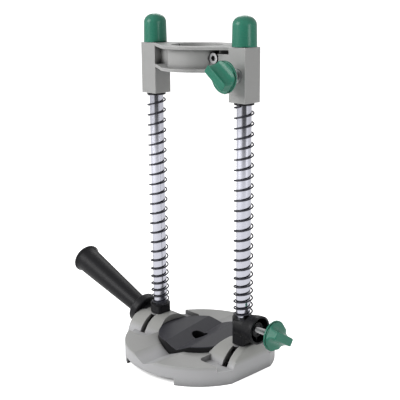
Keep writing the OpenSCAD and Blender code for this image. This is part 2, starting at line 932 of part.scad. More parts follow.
// Directions in which the coils start, at their feet
left_coil_deg = 0;
right_coil_deg = 0;

module spring_left() {
    color("black")
        translate([-rod_x, 0, 0])
            coil(foot_left_top_h + seat_gap, block_bottom_h - bush_flange_t - seat_gap, left_coil_deg);
}

module spring_right() {
    color("black")
        translate([rod_x, 0, 0])
            coil(foot_right_top_h + seat_gap, block_bottom_h - bush_flange_t - seat_gap, right_coil_deg);
}

// A flange round the collar, drawn out to the end blocks' front and back faces
module yoke_flange() {
    half_d = block_d / 2;
    touch_r = flange_r - flange_t / 4;
    reach = sqrt(block_inner_x * block_inner_x + half_d * half_d);
    touch_deg = atan2(half_d, block_inner_x) + acos(touch_r / reach);
    touch_x = touch_r * cos(touch_deg);
    touch_y = touch_r * sin(touch_deg);
    cylinder(r = flange_r, h = flange_t, $fn = big_fn);
    linear_extrude(flange_t)
        polygon([
            [-block_inner_x - cut, -half_d],
            [-block_inner_x, -half_d],
            [-touch_x, -touch_y],
            [touch_x, -touch_y],
            [block_inner_x, -half_d],
            [block_inner_x + cut, -half_d],
            [block_inner_x + cut, half_d],
            [block_inner_x, half_d],
            [touch_x, touch_y],
            [-touch_x, touch_y],
            [-block_inner_x, half_d],
            [-block_inner_x - cut, half_d]
        ]);
}

module yoke_body() {
    for (side = [-1, 1])
        translate([side * rod_x - block_w / 2, -block_d / 2, block_bottom_h])
            cube([block_w, block_d, block_h]);
    for (h = [collar_bottom_h, block_top_h - flange_t])
        translate([0, 0, h])
            yoke_flange();
    translate([0, 0, collar_bottom_h])
        cylinder(r = collar_out_r, h = collar_h, $fn = big_fn);
    translate([-block_inner_x - cut, -web_t / 2, collar_bottom_h])
        cube([block_inner_x + cut, web_t, collar_h]);
    translate([0, -block_d / 2, collar_bottom_h])
        cube([block_inner_x + cut, block_d / 2, lug_h]);
    translate([0, 0, collar_bottom_h])
        cube([clamp_lug_x, slit_w + clamp_lug_d, collar_h]);
}

// Bores, slits and recesses of the yoke
module yoke_cuts() {
    translate([0, 0, collar_bottom_h - cut])
        cylinder(r = collar_r, h = collar_h + 2 * cut, $fn = big_fn);
    translate([0, 0, collar_bottom_h - cut])
        cube([clamp_lug_x, slit_w, collar_h + 2 * cut]);
    translate([clamp_lug_x, 0, collar_bottom_h - cut])
        cube([slit_w, flange_r, collar_h + 2 * cut]);
    translate([-collar_r - clamp_relief, -slit_w / 4, collar_bottom_h - cut])
        cube([collar_r, slit_w / 2, collar_h + 2 * cut]);
    for (side = [-1, 1])
        translate([side * rod_x, 0, block_bottom_h - cut]) {
            cylinder(r = bush_r + running_gap, h = bush_len + cut, $fn = fine_fn);
            cylinder(r = rod_r + hole_gap, h = block_h + 2 * cut, $fn = fine_fn);
        }
    translate([clamp_screw_x, -block_d, clamp_h])
        rotate([-90, 0, 0])
            cylinder(d = clamp_screw_d + 2 * running_gap, h = 2 * block_d, $fn = fine_fn);
    translate([clamp_screw_x, clamp_head_y, clamp_h])
        rotate([90, 0, 0])
            cylinder(r = clamp_recess_r, h = block_d, $fn = fine_fn);
    translate([rod_x, 0, height_lock_h])
        rotate([90, 0, 0])
            cylinder(r = sleeve_r + running_gap, h = block_d, $fn = fine_fn);
}

module yoke() {
    color("silver")
        difference() {
            yoke_body();
            yoke_cuts();
        }
}

// A flanged guide bush pressed up into an end block
module guide_bush(x) {
    translate([x, 0, block_bottom_h - bush_flange_t])
        difference() {
            union() {
                cylinder(r = bush_flange_r, h = bush_flange_t, $fn = fine_fn);
                cylinder(r = bush_r, h = bush_flange_t + bush_len - seat_gap, $fn = fine_fn);
            }
            translate([0, 0, -cut])
                cylinder(r = rod_r + running_gap, h = block_h, $fn = fine_fn);
        }
}

module guide_bush_left() {
    color("black") guide_bush(-rod_x);
}

module guide_bush_right() {
    color("black") guide_bush(rod_x);
}

module collar_clamp_screw() {
    color("silver")
        translate([clamp_screw_x, clamp_head_y, clamp_h])
            rotate([-90, 0, 0])
                difference() {
                    union() {
                        cylinder(d = clamp_screw_d, h = block_d / 2 + slit_w + clamp_lug_d, $fn = fine_fn);
                        translate([0, 0, -clamp_head_h])
                            cylinder(r = clamp_head_r, h = clamp_head_h, $fn = fine_fn);
                    }
                    translate([0, 0, -clamp_head_h - cut])
                        cylinder(d = clamp_socket_w * hex_share, h = clamp_socket_depth + cut, $fn = hex_fn);
                }
}

module collar_clamp_nut() {
    color("silver")
        translate([clamp_screw_x, slit_w + clamp_lug_d, clamp_h])
            rotate([-90, 0, 0])
                hex_nut(clamp_nut_t, clamp_screw_d / 2 + running_gap);
}

module height_lock_sleeve() {
    sleeve_end_y = rod_r + running_gap + pad_t + seat_gap;
    color("silver")
        translate([rod_x, 0, height_lock_h])
            rotate([90, 0, 0])
                difference() {
                    union() {
                        translate([0, 0, -block_face_y])
                            cylinder(r = sleeve_flange_r, h = sleeve_flange_t, $fn = fine_fn);
                        translate([0, 0, sleeve_end_y])
                            cylinder(r = sleeve_r, h = -block_face_y - sleeve_end_y + cut, $fn = fine_fn);
                    }
                    cylinder(r = stud_r + running_gap, h = block_d, $fn = fine_fn);
                }
}

module height_lock_pad() {
    color("goldenrod")
        translate([rod_x, -rod_r - running_gap, height_lock_h])
            rotate([90, 0, 0])
                cylinder(r = sleeve_r, h = pad_t, $fn = fine_fn);
}

module height_lock_stud() {
    start_y = rod_r + running_gap + pad_t + seat_gap;
    color("silver")
        translate([rod_x, -start_y, height_lock_h])
            rotate([90, 0, 0])
                cylinder(r = stud_r, h = -height_knob_y - start_y + knob_stud_depth - running_gap, $fn = fine_fn);
}

module height_lock_knob() {
    color("seagreen")
        translate([rod_x, height_knob_y, height_lock_h])
            rotate([90, 0, 0])
                rotate([0, 0, height_wing_deg])
                    wing_knob();
}

base();
handle_stud();
handle_guard();
handle_grip();
drill_insert();
foot_left();
foot_right();
clamp_shoe_left();
clamp_shoe_right();
post_screws();
post_washers();
rod_left();
rod_right();
cap_left();
cap_right();
angle_lock_nut();
angle_lock_stud();
angle_lock_knob();
spring_left();
spring_right();
yoke();
guide_bush_left();
guide_bush_right();
collar_clamp_screw();
collar_clamp_nut();
height_lock_sleeve();
height_lock_pad();
height_lock_stud();
height_lock_knob();
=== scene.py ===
"""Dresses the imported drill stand: castings, plastics, rods, springs and threads, on a pale studio floor."""

import math

import bpy
import bmesh
from bpy.props import FloatProperty, FloatVectorProperty, PointerProperty
from mathutils import Matrix, Vector


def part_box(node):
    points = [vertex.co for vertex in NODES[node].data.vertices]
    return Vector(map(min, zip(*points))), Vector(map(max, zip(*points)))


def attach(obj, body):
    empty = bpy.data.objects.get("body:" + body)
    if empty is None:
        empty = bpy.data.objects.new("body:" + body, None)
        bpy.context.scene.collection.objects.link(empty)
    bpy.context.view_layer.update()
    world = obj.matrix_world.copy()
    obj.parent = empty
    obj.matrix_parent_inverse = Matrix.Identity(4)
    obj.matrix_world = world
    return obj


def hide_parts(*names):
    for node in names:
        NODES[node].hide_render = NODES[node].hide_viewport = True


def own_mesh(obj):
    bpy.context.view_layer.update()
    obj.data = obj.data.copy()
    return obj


bl_info = {
    "name": "Drill stand looks",
    "version": (1, 0, 0),
    "blender": (4, 5, 0),
    "location": "3D View > Sidebar > Drill stand",
    "description": "Finishes, springs, threads, light and camera of a portable drill stand",
    "category": "Object",
}

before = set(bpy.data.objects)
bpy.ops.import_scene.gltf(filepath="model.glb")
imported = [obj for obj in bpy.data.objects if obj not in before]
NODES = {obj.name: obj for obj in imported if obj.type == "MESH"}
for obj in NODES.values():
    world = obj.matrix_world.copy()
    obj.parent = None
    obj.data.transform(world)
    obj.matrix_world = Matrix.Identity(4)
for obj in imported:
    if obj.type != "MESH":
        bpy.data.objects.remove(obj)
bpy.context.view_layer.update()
MM = 0.001
FULL_TURN = 2 * math.pi
CREASE = math.radians(32.0)
EVEN = (1.0, 1.0, 1.0)


def middle(node):
    """Centre of a node's box."""
    corner_a, corner_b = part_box(node)
    return (corner_a + corner_b) / 2


class Level:
    """A value that changes over a surface, held as a socket, so that sums on it add Math nodes."""

    def __init__(self, shader, socket):
        self.shader = shader
        self.socket = socket

    def _sum(self, operation, *terms):
        return self.shader.add("ShaderNodeMath", {"operation": operation}, dict(enumerate(terms)))

    def __add__(self, other):
        return self._sum("ADD", self, other)

    def __radd__(self, other):
        return self._sum("ADD", other, self)

    def __sub__(self, other):
        return self._sum("SUBTRACT", self, other)

    def __rsub__(self, other):
        return self._sum("SUBTRACT", other, self)

    def __mul__(self, other):
        return self._sum("MULTIPLY", self, other)

    def __rmul__(self, other):
        return self._sum("MULTIPLY", other, self)


class Shader:
    """The nodes of a finish or of the studio, built one by one from plain values and sockets."""

    def __init__(self, owner):
        owner.use_nodes = True
        self.tree = owner.node_tree
        self.tree.nodes.clear()

    def add(self, kind, settings, sockets, output=0):
        """Adds a node: its settings first, then the values or links of its sockets. Returns one output."""
        node = self.tree.nodes.new(kind)
        for key, value in settings.items():
            if key == "stops":
                self._set_stops(node.color_ramp, value)
            else:
                setattr(node, key, value)
        for key, value in sockets.items():
            socket = node.inputs[key]
            if isinstance(value, Level):
                self.tree.links.new(value.socket, socket)
            else:
                socket.default_value = value
        return Level(self, node.outputs[output]) if node.outputs else None

    def _set_stops(self, ramp, stops):
        for element, (place, shade) in zip(ramp.elements, stops):
            element.position = place
            element.color = (shade, shade, shade, 1.0)

    def rise(self, level, start, end):
        """0 where a level is at most start, 1 where it is at least end; both lie between 0 and 1."""
        return self.add("ShaderNodeValToRGB", {"stops": ((start, 0.0), (end, 1.0))}, {"Fac": level})

    def blend(self, share, colour_a, colour_b):
        """Mixes two colours by a share that may change over the surface."""
        sockets = {0: share, 6: rgba(colour_a), 7: rgba(colour_b)}
        return self.add("ShaderNodeMix", {"data_type": "RGBA"}, sockets, 2)

    def along(self, vector, other):
        """How far a vector points along another: their dot product."""
        settings = {"operation": "DOT_PRODUCT"}
        return self.add("ShaderNodeVectorMath", settings, {0: vector, 1: other}, "Value")

    def ray(self, kind):
        """1 for light rays of a kind, such as Camera or Glossy, and 0 for the rest."""
        return self.add("ShaderNodeLightPath", {}, {}, f"Is {kind} Ray")


class Finish(Shader):
    """One material of the stand."""

    def __init__(self, name):
        self.material = bpy.data.materials.new(name)
        super().__init__(self.material)

    def noise(self, size, detail=3.0, stretch=EVEN):
        """Noise from 0 to 1 whose cells are about size metres across, in the part's own metres."""
        point = self.add("ShaderNodeTexCoord", {}, {}, "Object")
        place = self.add("ShaderNodeMapping", {}, {"Vector": point, "Scale": stretch})
        sockets = {"Vector": place, "Scale": 1.0 / size, "Detail": detail}
        return self.add("ShaderNodeTexNoise", {}, sockets, "Fac")

    def height(self):
        """Height over the bench in metres, in the rest pose."""
        point = self.add("ShaderNodeTexCoord", {}, {}, "Object")
        return self.add("ShaderNodeSeparateXYZ", {}, {0: point}, "Z")

    def upward(self):
        """1 on faces that look up, 0 on sides and below."""
        return self.along(self.add("ShaderNodeNewGeometry", {}, {}, "Normal"), (0.0, 0.0, 1.0))

    def edges(self, radius):
        """1 along sharp edges and 0 on open faces."""
        soft = self.add("ShaderNodeBevel", {"samples": 4}, {"Radius": radius})
        sharp = self.add("ShaderNodeNewGeometry", {}, {}, "Normal")
        return self.rise(1 - self.along(soft, sharp), 0.015, 0.22)

    def hollow_shade(self, reach):
        """How much painted shade a point gets: 1 deep in slots and pockets narrower than the reach, and 0 in
        the open.
        """
        shut = 1 - self.add("ShaderNodeAmbientOcclusion", {"samples": 8}, {"Distance": reach}, "AO")
        return self.rise(shut, 0.3, 0.7)

    def relief(self, height, depth, edge_r=0.0):
        """A normal from a height of 0 to 1, over edges softened to a radius."""
        sockets = {"Height": height, "Distance": depth, "Strength": 1.0}
        if edge_r:
            sockets["Normal"] = self.add("ShaderNodeBevel", {"samples": 4}, {"Radius": edge_r})
        return self.add("ShaderNodeBump", {}, sockets)

    def shade(self, **sockets):
        """The surface shader: words with underscores name its sockets."""
        named = {key.replace("_", " "): value for key, value in sockets.items()}
        surface = self.add("ShaderNodeBsdfPrincipled", {}, named)
        self.add("ShaderNodeOutputMaterial", {}, {"Surface": surface})
        return self.material


def rgba(colour):
    """A colour with its alpha, or a colour socket as it is."""
    return colour if isinstance(colour, Level) else (*colour[:3], 1.0)


def shaded(colour, factor):
    """A darker or lighter tone of a colour."""
    return [min(1.0, channel * factor) for channel in colour]


def grey(tone):
    """An even grey."""
    return (tone, tone, tone)


def dress(nodes, material):
    """Gives CAD nodes a material in place of the frame's own."""
    for name in nodes:
        mesh = NODES[name].data
        mesh.materials.clear()
        mesh.materials.append(material)


class StandFinishes(bpy.types.PropertyGroup):
    """Colours and edge sizes of the stand's own surfaces."""

    yoke_cast: FloatVectorProperty(
        name="Yoke",
        description="Grey paint of the yoke",
        subtype="COLOR",
        default=(0.365, 0.365, 0.36),
    )
    base_cast: FloatVectorProperty(
        name="Base",
        description="Grey paint of the base's rim and deck",
        subtype="COLOR",
        default=(0.475, 0.475, 0.485),
    )
    saddle_cast: FloatVectorProperty(
        name="Saddles",
        description="Warmer grey of the base's saddles",
        subtype="COLOR",
        default=(0.345, 0.345, 0.33),
    )
    green: FloatVectorProperty(
        name="Green plastic",
        description="Knobs and end caps",
        subtype="COLOR",
        default=(0.025, 0.19, 0.125),
    )
    black: FloatVectorProperty(
        name="Black plastic",
        description="Feet, bushes, guard and grip",
        subtype="COLOR",
        default=(0.006, 0.006, 0.0075),
    )
    insert: FloatVectorProperty(
        name="Insert",
        description="Dark plastic of the drill insert",
        subtype="COLOR",
        default=(0.019, 0.019, 0.026),
    )
    chrome: FloatVectorProperty(
        name="Rods",
        description="Plating of the guide rods",
        subtype="COLOR",
        default=(0.57, 0.575, 0.645),
    )
    zinc: FloatVectorProperty(
        name="Fasteners",
        description="Zinc on screws and nuts",
        subtype="COLOR",
        default=(0.6, 0.6, 0.61),
    )
    # Painted shade: the nut's steel is made nearly black to stand for the shade inside the angle lock's cup.
    cup_shade: FloatVectorProperty(
        name="Dull steel",
        description="Nut in the cup of the angle lock",
        subtype="COLOR",
        default=(0.06, 0.06, 0.065),
    )
    spring: FloatVectorProperty(
        name="Springs",
        description="Blackened spring wire",
        subtype="COLOR",
        default=(0.011, 0.011, 0.017),
    )
    brass: FloatVectorProperty(
        name="Pad",
        description="Pressure pad of the height lock",
        subtype="COLOR",
        default=(0.72, 0.5, 0.2),
    )
    edge_r: FloatProperty(
        name="Casting edges",
        description="Softness of cast edges",
        default=0.9 * MM,
        unit="LENGTH",
    )
    moulded_edge_r: FloatProperty(
        name="Moulded edges",
        description="Softness of moulded edges",
        default=0.4 * MM,
        unit="LENGTH",
    )


class StandMoulds(bpy.types.PropertyGroup):
    """Sizes of the end caps and wing knobs."""

    dome_h: FloatProperty(
        name="Dome",
        description="Height of a cap's dome",
        default=7.4 * MM,
        unit="LENGTH",
    )
    back_r: FloatProperty(
        name="Knob back",
        description="Radius at a knob's back",
        default=6.5 * MM,
        unit="LENGTH",
    )
    disc_r: FloatProperty(
        name="Knob disc",
        description="Radius of a knob's disc",
        default=12.5 * MM,
        unit="LENGTH",
    )
    disc_t: FloatProperty(
        name="Disc rim",
        description="Thickness of the disc's rim",
        default=2.4 * MM,
        unit="LENGTH",
    )
    wing_h: FloatProperty(
        name="Wing height",
        description="Height of the wing over the disc",
        default=8.9 * MM,
        unit="LENGTH",
    )
    wing_len: FloatProperty(
        name="Wing length",
        description="Length of the wing's edge",
        default=23 * MM,
        unit="LENGTH",
    )
    wing_t: FloatProperty(
        name="Wing edge",
        description="Thickness of the wing's edge",
        default=7.0 * MM,
        unit="LENGTH",
    )
    angle_wing: FloatProperty(
        name="Angle wing",
        description="Turn of the angle lock's wing at rest",
        default=math.radians(-32.0),
        subtype="ANGLE",
    )
    height_wing: FloatProperty(
        name="Height wing",
        description="Turn of the height lock's wing at rest",
        default=math.radians(-38.0),
        subtype="ANGLE",
    )


class StandWire(bpy.types.PropertyGroup):
    """Sizes of the springs and threads."""

    wire_d: FloatProperty(
        name="Wire",
        description="Diameter of the spring wire",
        default=1.35 * MM,
        unit="LENGTH",
    )
    left_turns: FloatProperty(
        name="Left turns",
        description="Turns in the left spring",
        default=23.0,
    )
    right_turns: FloatProperty(
        name="Right turns",
        description="Turns in the right spring",
        default=22.5,
    )
    closing_turns: FloatProperty(
        name="Closing turns",
        description="Turns that close up towards the foot",
        default=7.9,
    )
    closed_pitch: FloatProperty(
        name="Closed pitch",
        description="Pitch of the lowest turn",
        default=5.0 * MM,
        unit="LENGTH",
    )
    left_start: FloatProperty(
        name="Left start",
        description="Direction in which the left coil starts",
        default=math.radians(204.0),
        subtype="ANGLE",
    )
    right_start: FloatProperty(
        name="Right start",
        description="Direction in which the right coil starts",
        default=math.radians(107.0),
        subtype="ANGLE",
    )
    thread_pitch: FloatProperty(
        name="Thread",
        description="Pitch of the lock studs",
        default=0.8 * MM,
        unit="LENGTH",
    )
    travel: FloatProperty(
        name="Travel",
        description="How far the yoke slides down",
        default=0.13,
        unit="LENGTH",
    )


class StandView(bpy.types.PropertyGroup):
    """Where the camera stands, and how bright the studio is."""

    azimuth: FloatProperty(
        name="Azimuth",
        description="Turn of the camera round the stand",
        default=math.radians(45.69),
        subtype="ANGLE",
    )
    elevation: FloatProperty(
        name="Elevation",
        description="Angle of the camera over the bench",
        default=math.radians(13.9),
        subtype="ANGLE",
    )
    roll: FloatProperty(
        name="Roll",
        description="Lean of the picture",
        default=math.radians(-0.42),
        subtype="ANGLE",
    )
    distance: FloatProperty(
        name="Distance",
        description="From the camera to the point looked at",
        default=0.7203,
        unit="LENGTH",
    )
    aim: FloatVectorProperty(
        name="Aim",
        description="Point looked at",
        default=(0.00067, 0.00069, 0.13938),
        subtype="XYZ",
    )
    lens: FloatProperty(
        name="Lens",
        description="Focal length in millimetres",
        default=76.95,
    )
    key: FloatProperty(
        name="Key",
        description="Power of the key lamp in watts",
        default=10.8,
    )
    fill: FloatProperty(
        name="Fill",
        description="Power of the fill lamp in watts",
        default=3.2,
    )
    back: FloatProperty(
        name="Back",
        description="Power of the back lamp in watts",
        default=3.0,
    )
    sky: FloatProperty(
        name="Sky",
        description="Strength of the even light",
        default=0.36,
    )
    floor_lift: FloatProperty(
        name="Floor",
        description="Light that whitens the floor in view",
        default=1.0,
    )
    far_wall: FloatProperty(
        name="Far wall",
        description="How light the wall behind the stand is in glossy metal",
        default=0.45,
    )


class STAND_OT_castings(bpy.types.Operator):
    """Gives the base and the yoke their grey cast and painted surface"""

    bl_idname = "stand.castings"
    bl_label = "Paint castings"

    grain_size = 0.45 * MM
    grain_depth = 0.012 * MM
    cloud_size = 24 * MM
    yoke_reach = 8 * MM
    base_reach = 18 * MM
    height_span = 50 * MM
    saddles_from = 13.5 * MM
    saddles_to = 18 * MM

    def paint(self, finish, colour, edge_r, reach):
        """Satin paint over a cast skin: fine grain, worn edges lightened by a painted highlight, and painted
        shade that darkens slots.
        """
        grain = finish.noise(self.grain_size, detail=2.0)
        cloud = finish.noise(self.cloud_size, detail=3.0)
        toned = finish.blend(0.09 * cloud + 0.03 * grain, colour, grey(0.2))
        # Painted highlight and wear: sharp edges lighten towards a pale grey.
        rubbed_and_highlit = finish.blend(0.8 * finish.edges(edge_r), toned, grey(0.86))
        # Painted shade: slots and pockets darken to near black.
        shadowed = finish.blend(0.93 * finish.hollow_shade(reach), rubbed_and_highlit, grey(0.01))
        normal = finish.relief(grain, self.grain_depth, edge_r)
        return finish.shade(Base_Color=shadowed, Roughness=0.4 + 0.14 * grain, Normal=normal, IOR=1.45)

    def execute(self, context):
        looks = context.scene.stand_finishes
        yoke = Finish("yoke_paint")
        dress(["yoke"], self.paint(yoke, looks.yoke_cast, looks.edge_r, self.yoke_reach))
        base = Finish("base_paint")
        raised = base.rise(
            base.height() * (1 / self.height_span),
            self.saddles_from / self.height_span,
            self.saddles_to / self.height_span,
        )
        two_greys = base.blend(raised, looks.base_cast, looks.saddle_cast)
        dress(["base"], self.paint(base, two_greys, looks.edge_r, self.base_reach))
        return {"FINISHED"}


class STAND_OT_plastics(bpy.types.Operator):
    """Moulds the green, black and dark grey plastics"""

    bl_idname = "stand.plastics"
    bl_label = "Mould plastics"

    cloud_size = 12 * MM
    hollow_reach = 9 * MM

    def plastic(self, name, colour, rubbed_and_highlit, grain_size, depth, roughness, gloss, sides=1.0):
        """Moulded skin: fine grain, faint clouds, edges with a pale painted highlight and wear, painted shade
        in recesses; the sides may take painted shade while the top keeps its lit tone.
        """
        edge_r = bpy.context.scene.stand_finishes.moulded_edge_r
        finish = Finish(name)
        grain = finish.noise(grain_size)
        cloud = finish.noise(self.cloud_size)
        toned = finish.blend(0.4 * cloud + 0.3 * grain, shaded(colour, 0.75), shaded(colour, 1.4))
        # Painted shade on the sides: faces that do not look up darken by the sides factor.
        if sides < 1.0:
            top = finish.rise(finish.upward(), 0.35, 0.75)
            toned = finish.blend(top, shaded(colour, sides), toned)
        # Painted highlight and wear: edges blend towards the pale edge colour.
        edged = finish.blend(0.45 * finish.edges(edge_r), toned, rubbed_and_highlit)
        # Painted shade: recesses darken to a tenth of the colour.
        shadowed = finish.blend(0.9 * finish.hollow_shade(self.hollow_reach), edged, shaded(colour, 0.1))
        normal = finish.relief(grain, depth, edge_r)
        rough = roughness + 0.14 * grain
        return finish.shade(Base_Color=shadowed, Roughness=rough, Normal=normal, Specular_IOR_Level=gloss)

    def execute(self, context):
        looks = context.scene.stand_finishes
        self.plastic(
            "green_moulding", looks.green, rubbed_and_highlit=(0.12, 0.36, 0.26),
            grain_size=0.5 * MM, depth=0.006 * MM, roughness=0.2, gloss=0.3,
        )
        black = self.plastic(
            "black_moulding", looks.black, rubbed_and_highlit=(0.03, 0.03, 0.034),
            grain_size=0.7 * MM, depth=0.09 * MM, roughness=0.34, gloss=0.17,
        )
        insert = self.plastic(
            # The insert's sides get painted shade at 0.12 of its colour, and its edges a pale painted
            # highlight.
            "insert_moulding", looks.insert, rubbed_and_highlit=(0.2, 0.2, 0.23),
            grain_size=0.3 * MM, depth=0.012 * MM, roughness=0.42, gloss=0.27, sides=0.12,
        )
        dress(["foot_left", "foot_right", "handle_guard", "handle_grip"], black)
        dress(["guide_bush_left", "guide_bush_right"], black)
        dress(["drill_insert"], insert)
        return {"FINISHED"}


class STAND_OT_metals(bpy.types.Operator):
    """Plates the rods, screws, nuts and shoes"""

    bl_idname = "stand.metals"
    bl_label = "Plate metals"

    grain_size = 0.4 * MM
    grain_depth = 0.0015 * MM
    tone_size = 5 * MM
    drawn_out = (1.0, 1.0, 0.03)

    def metal(self, name, colour, roughness, reach, stretch=EVEN):
        """Plated metal: fine grain, drawn out along a rod, a faint cloudy tone, and painted shade in
        recesses.
        """
        finish = Finish(name)
        grain = finish.noise(self.grain_size, stretch=stretch)
        tone = finish.noise(self.tone_size, detail=2.0, stretch=stretch)
        toned = finish.blend(0.35 * tone + 0.2 * grain, colour, shaded(colour, 0.72))
        # Painted shade: recesses darken to 0.08 of the colour.
        shadowed = finish.blend(0.85 * finish.hollow_shade(reach), toned, shaded(colour, 0.08))
        normal = finish.relief(grain, self.grain_depth)
        rough = roughness + 0.08 * grain
        return finish.shade(Base_Color=shadowed, Metallic=1.0, Roughness=rough, Normal=normal)

    def execute(self, context):
        looks = context.scene.stand_finishes
        rods = self.metal("rod_plating", looks.chrome, roughness=0.1, reach=3 * MM, stretch=self.drawn_out)
        zinc = self.metal("zinc_plating", looks.zinc, roughness=0.26, reach=16 * MM)
        brass = self.metal("pad_metal", looks.brass, roughness=0.35, reach=3 * MM)
        turned = self.metal("turned_steel", looks.zinc, roughness=0.3, reach=2 * MM)
        # Painted shade: the nut in the cup gets the nearly black steel.
        cup_shade = self.metal("dull_steel", looks.cup_shade, roughness=0.42, reach=12 * MM)
        dress(["rod_left", "rod_right"], rods)
        dress(["handle_stud", "clamp_shoe_left", "clamp_shoe_right", "post_screws", "post_washers"], zinc)
        dress(["collar_clamp_screw", "collar_clamp_nut"], zinc)
        dress(["height_lock_sleeve"], turned)
        dress(["angle_lock_nut"], cup_shade)
        dress(["height_lock_pad"], brass)
        return {"FINISHED"}


def as_object(name, mesh):
    """Turns a bmesh into an object in the scene, smooth but for its creases."""
    bmesh.ops.recalc_face_normals(mesh, faces=mesh.faces)
    for edge in mesh.edges:
        edge.smooth = edge.calc_face_angle(0.0) < CREASE
    data = bpy.data.meshes.new(name)
    mesh.to_mesh(data)
    mesh.free()
    for face in data.polygons:
        face.use_smooth = True
    thing = bpy.data.objects.new(name, data)
    bpy.context.scene.collection.objects.link(thing)
    return thing


def fit(piece, body, node):
    """Puts a piece in the place of a CAD node, on the node's body."""
    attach(piece, body)
    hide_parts(node)


def skin(name, rings, material, body, node):
    """Joins rings of points from one end to the other, closes both ends, and fits the piece."""
    mesh = bmesh.new()
    loops = [[mesh.verts.new(point) for point in ring] for ring in rings]
    for loop, following in zip(loops, loops[1:]):
        for k in range(len(loop)):
            after = (k + 1) % len(loop)
            mesh.faces.new((loop[k], loop[after], following[after], following[k]))
    mesh.faces.new(loops[0])
    mesh.faces.new(loops[-1])
    piece = as_object(name, mesh)
    piece.data.materials.append(material)
    fit(piece, body, node)


class STAND_OT_caps(bpy.types.Operator):
    """Moulds the two green end caps with their rounded domes"""

    bl_idname = "stand.caps"
    bl_label = "Mould end caps"

    around = 64
    wall_steps = 9
    dome_steps = 20
    draft = 0.965
    lip_h = 0.3 * MM
    lip_draft = 0.985
    dome_fullness = 0.93

    def outline(self, foot_r, foot_h, top_h, dome_h):
        """Radius and height of each ring: a bevelled lip, a drafted wall and a full dome."""
        shoulder = top_h - dome_h
        points = [(foot_r * self.lip_draft, foot_h), (foot_r, foot_h + self.lip_h)]
        for i in range(1, self.wall_steps):
            share = i / self.wall_steps
            points.append((foot_r * (1 + (self.draft - 1) * share), foot_h + share * (shoulder - foot_h)))
        for i in range(self.dome_steps):
            turn = math.pi / 2 * i / self.dome_steps
            radius = foot_r * self.draft * math.cos(turn) ** self.dome_fullness
            points.append((radius, shoulder + dome_h * math.sin(turn)))
        return points

    def mould(self, side, dome_h, material):
        """Turns the outline round a rod's axis."""
        node = f"cap_{side}"
        corner_a, corner_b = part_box(node)
        centre = middle(node)
        turns = [FULL_TURN * k / self.around for k in range(self.around)]
        rings = []
        for r, z in self.outline((corner_b.x - corner_a.x) / 2, corner_a.z, corner_b.z, dome_h):
            rings.append([(centre.x + r * math.cos(turn), r * math.sin(turn), z) for turn in turns])
        skin(f"{side}_end_cap", rings, material, "posts", node)

    def execute(self, context):
        dome_h = context.scene.stand_moulds.dome_h
        material = bpy.data.materials["green_moulding"]
        for side in ("left", "right"):
            self.mould(side, dome_h, material)
        return {"FINISHED"}


class STAND_OT_knobs(bpy.types.Operator):
    """Moulds the two green wing knobs: a stepped disc from which a flared wing grows"""

    bl_idname = "stand.knobs"
    bl_label = "Mould wing knobs"

    around = 96
    sweep_steps = 16
    bevel = 0.4 * MM
    step_in = 0.9 * MM
    step_rise = 0.1 * MM
    root_length_share = 0.97
    root_width_share = 0.84
    flare_end = 0.9
    round_section = 2.0
    root_section = 4.5
    edge_section = 9.5
    edge_round = 0.5 * MM

    def sections(self, sizes, length):
        """Half length, half thickness, squareness and height of each section, from the back to the wing."""
        disc_top = length - sizes.wing_h
        disc_foot = disc_top - sizes.disc_t
        rim_top = disc_foot + sizes.disc_t / 2
        inner_r = sizes.disc_r - self.step_in
        disc = (
            (sizes.back_r, 0.0),
            (sizes.disc_r - self.bevel, disc_foot - self.bevel),
            (sizes.disc_r, disc_foot),
            (sizes.disc_r, rim_top),
            (inner_r, rim_top + self.step_rise),
            (inner_r, disc_top),
        )
        rows = [(radius, radius, self.round_section, along) for radius, along in disc]
        root_l = inner_r * self.root_length_share
        root_t = inner_r * self.root_width_share
        for i in range(self.sweep_steps + 1):
            share = i / self.sweep_steps
            foot = max(0.0, 1 - share / self.flare_end)
            flare = 1 - math.sqrt(1 - foot * foot)
            half_l = root_l + (sizes.wing_len / 2 - root_l) * share
            half_t = sizes.wing_t / 2 + (root_t - sizes.wing_t / 2) * flare
            square = self.root_section + (self.edge_section - self.root_section) * share
            rows.append((half_l, half_t, square, disc_top + share * (sizes.wing_h - self.edge_round)))
        edge_l = sizes.wing_len / 2 - self.edge_round
        edge_t = sizes.wing_t / 2 - self.edge_round
        rows.append((edge_l, edge_t, self.edge_section, length))
        return rows

    def mould(self, name, body, axis, flat, wing, sizes, material):
        """Lays the sections along a stud's axis, with the wing turned from the flat direction."""
        node = f"{body}_knob"
        corner_a, corner_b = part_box(node)
        length = abs((corner_b - corner_a).dot(axis))
        start = middle(node) - axis * (length / 2)
        across = Matrix.Rotation(wing, 3, axis) @ flat
        beside = axis.cross(across)
        rings = []
        for half_l, half_t, square, along in self.sections(sizes, length):
            ring = []
            for k in range(self.around):
                turn = FULL_TURN * k / self.around
                c, s = math.cos(turn), math.sin(turn)
                u = half_l * math.copysign(abs(c) ** (2 / square), c)
                v = half_t * math.copysign(abs(s) ** (2 / square), s)
                ring.append(start + along * axis + u * across + v * beside)
            rings.append(ring)
        skin(name, rings, material, body, node)

    def execute(self, context):
        sizes = context.scene.stand_moulds
        material = bpy.data.materials["green_moulding"]
        right, front, back = Vector((1, 0, 0)), Vector((0, -1, 0)), Vector((0, 1, 0))
        self.mould("angle_knob", "angle_lock", right, back, sizes.angle_wing, sizes, material)
        self.mould("height_knob", "height_lock", front, right, sizes.height_wing, sizes, material)
        return {"FINISHED"}


def coil_rise(turn, closing, closed_pitch, pitch):
    """Height of the wire after a number of turns: closed at the foot, then even."""
    if turn < closing:
        return closed_pitch * turn + (pitch - closed_pitch) * turn * turn / (2 * closing)
    return closing * (closed_pitch + pitch) / 2 + (turn - closing) * pitch


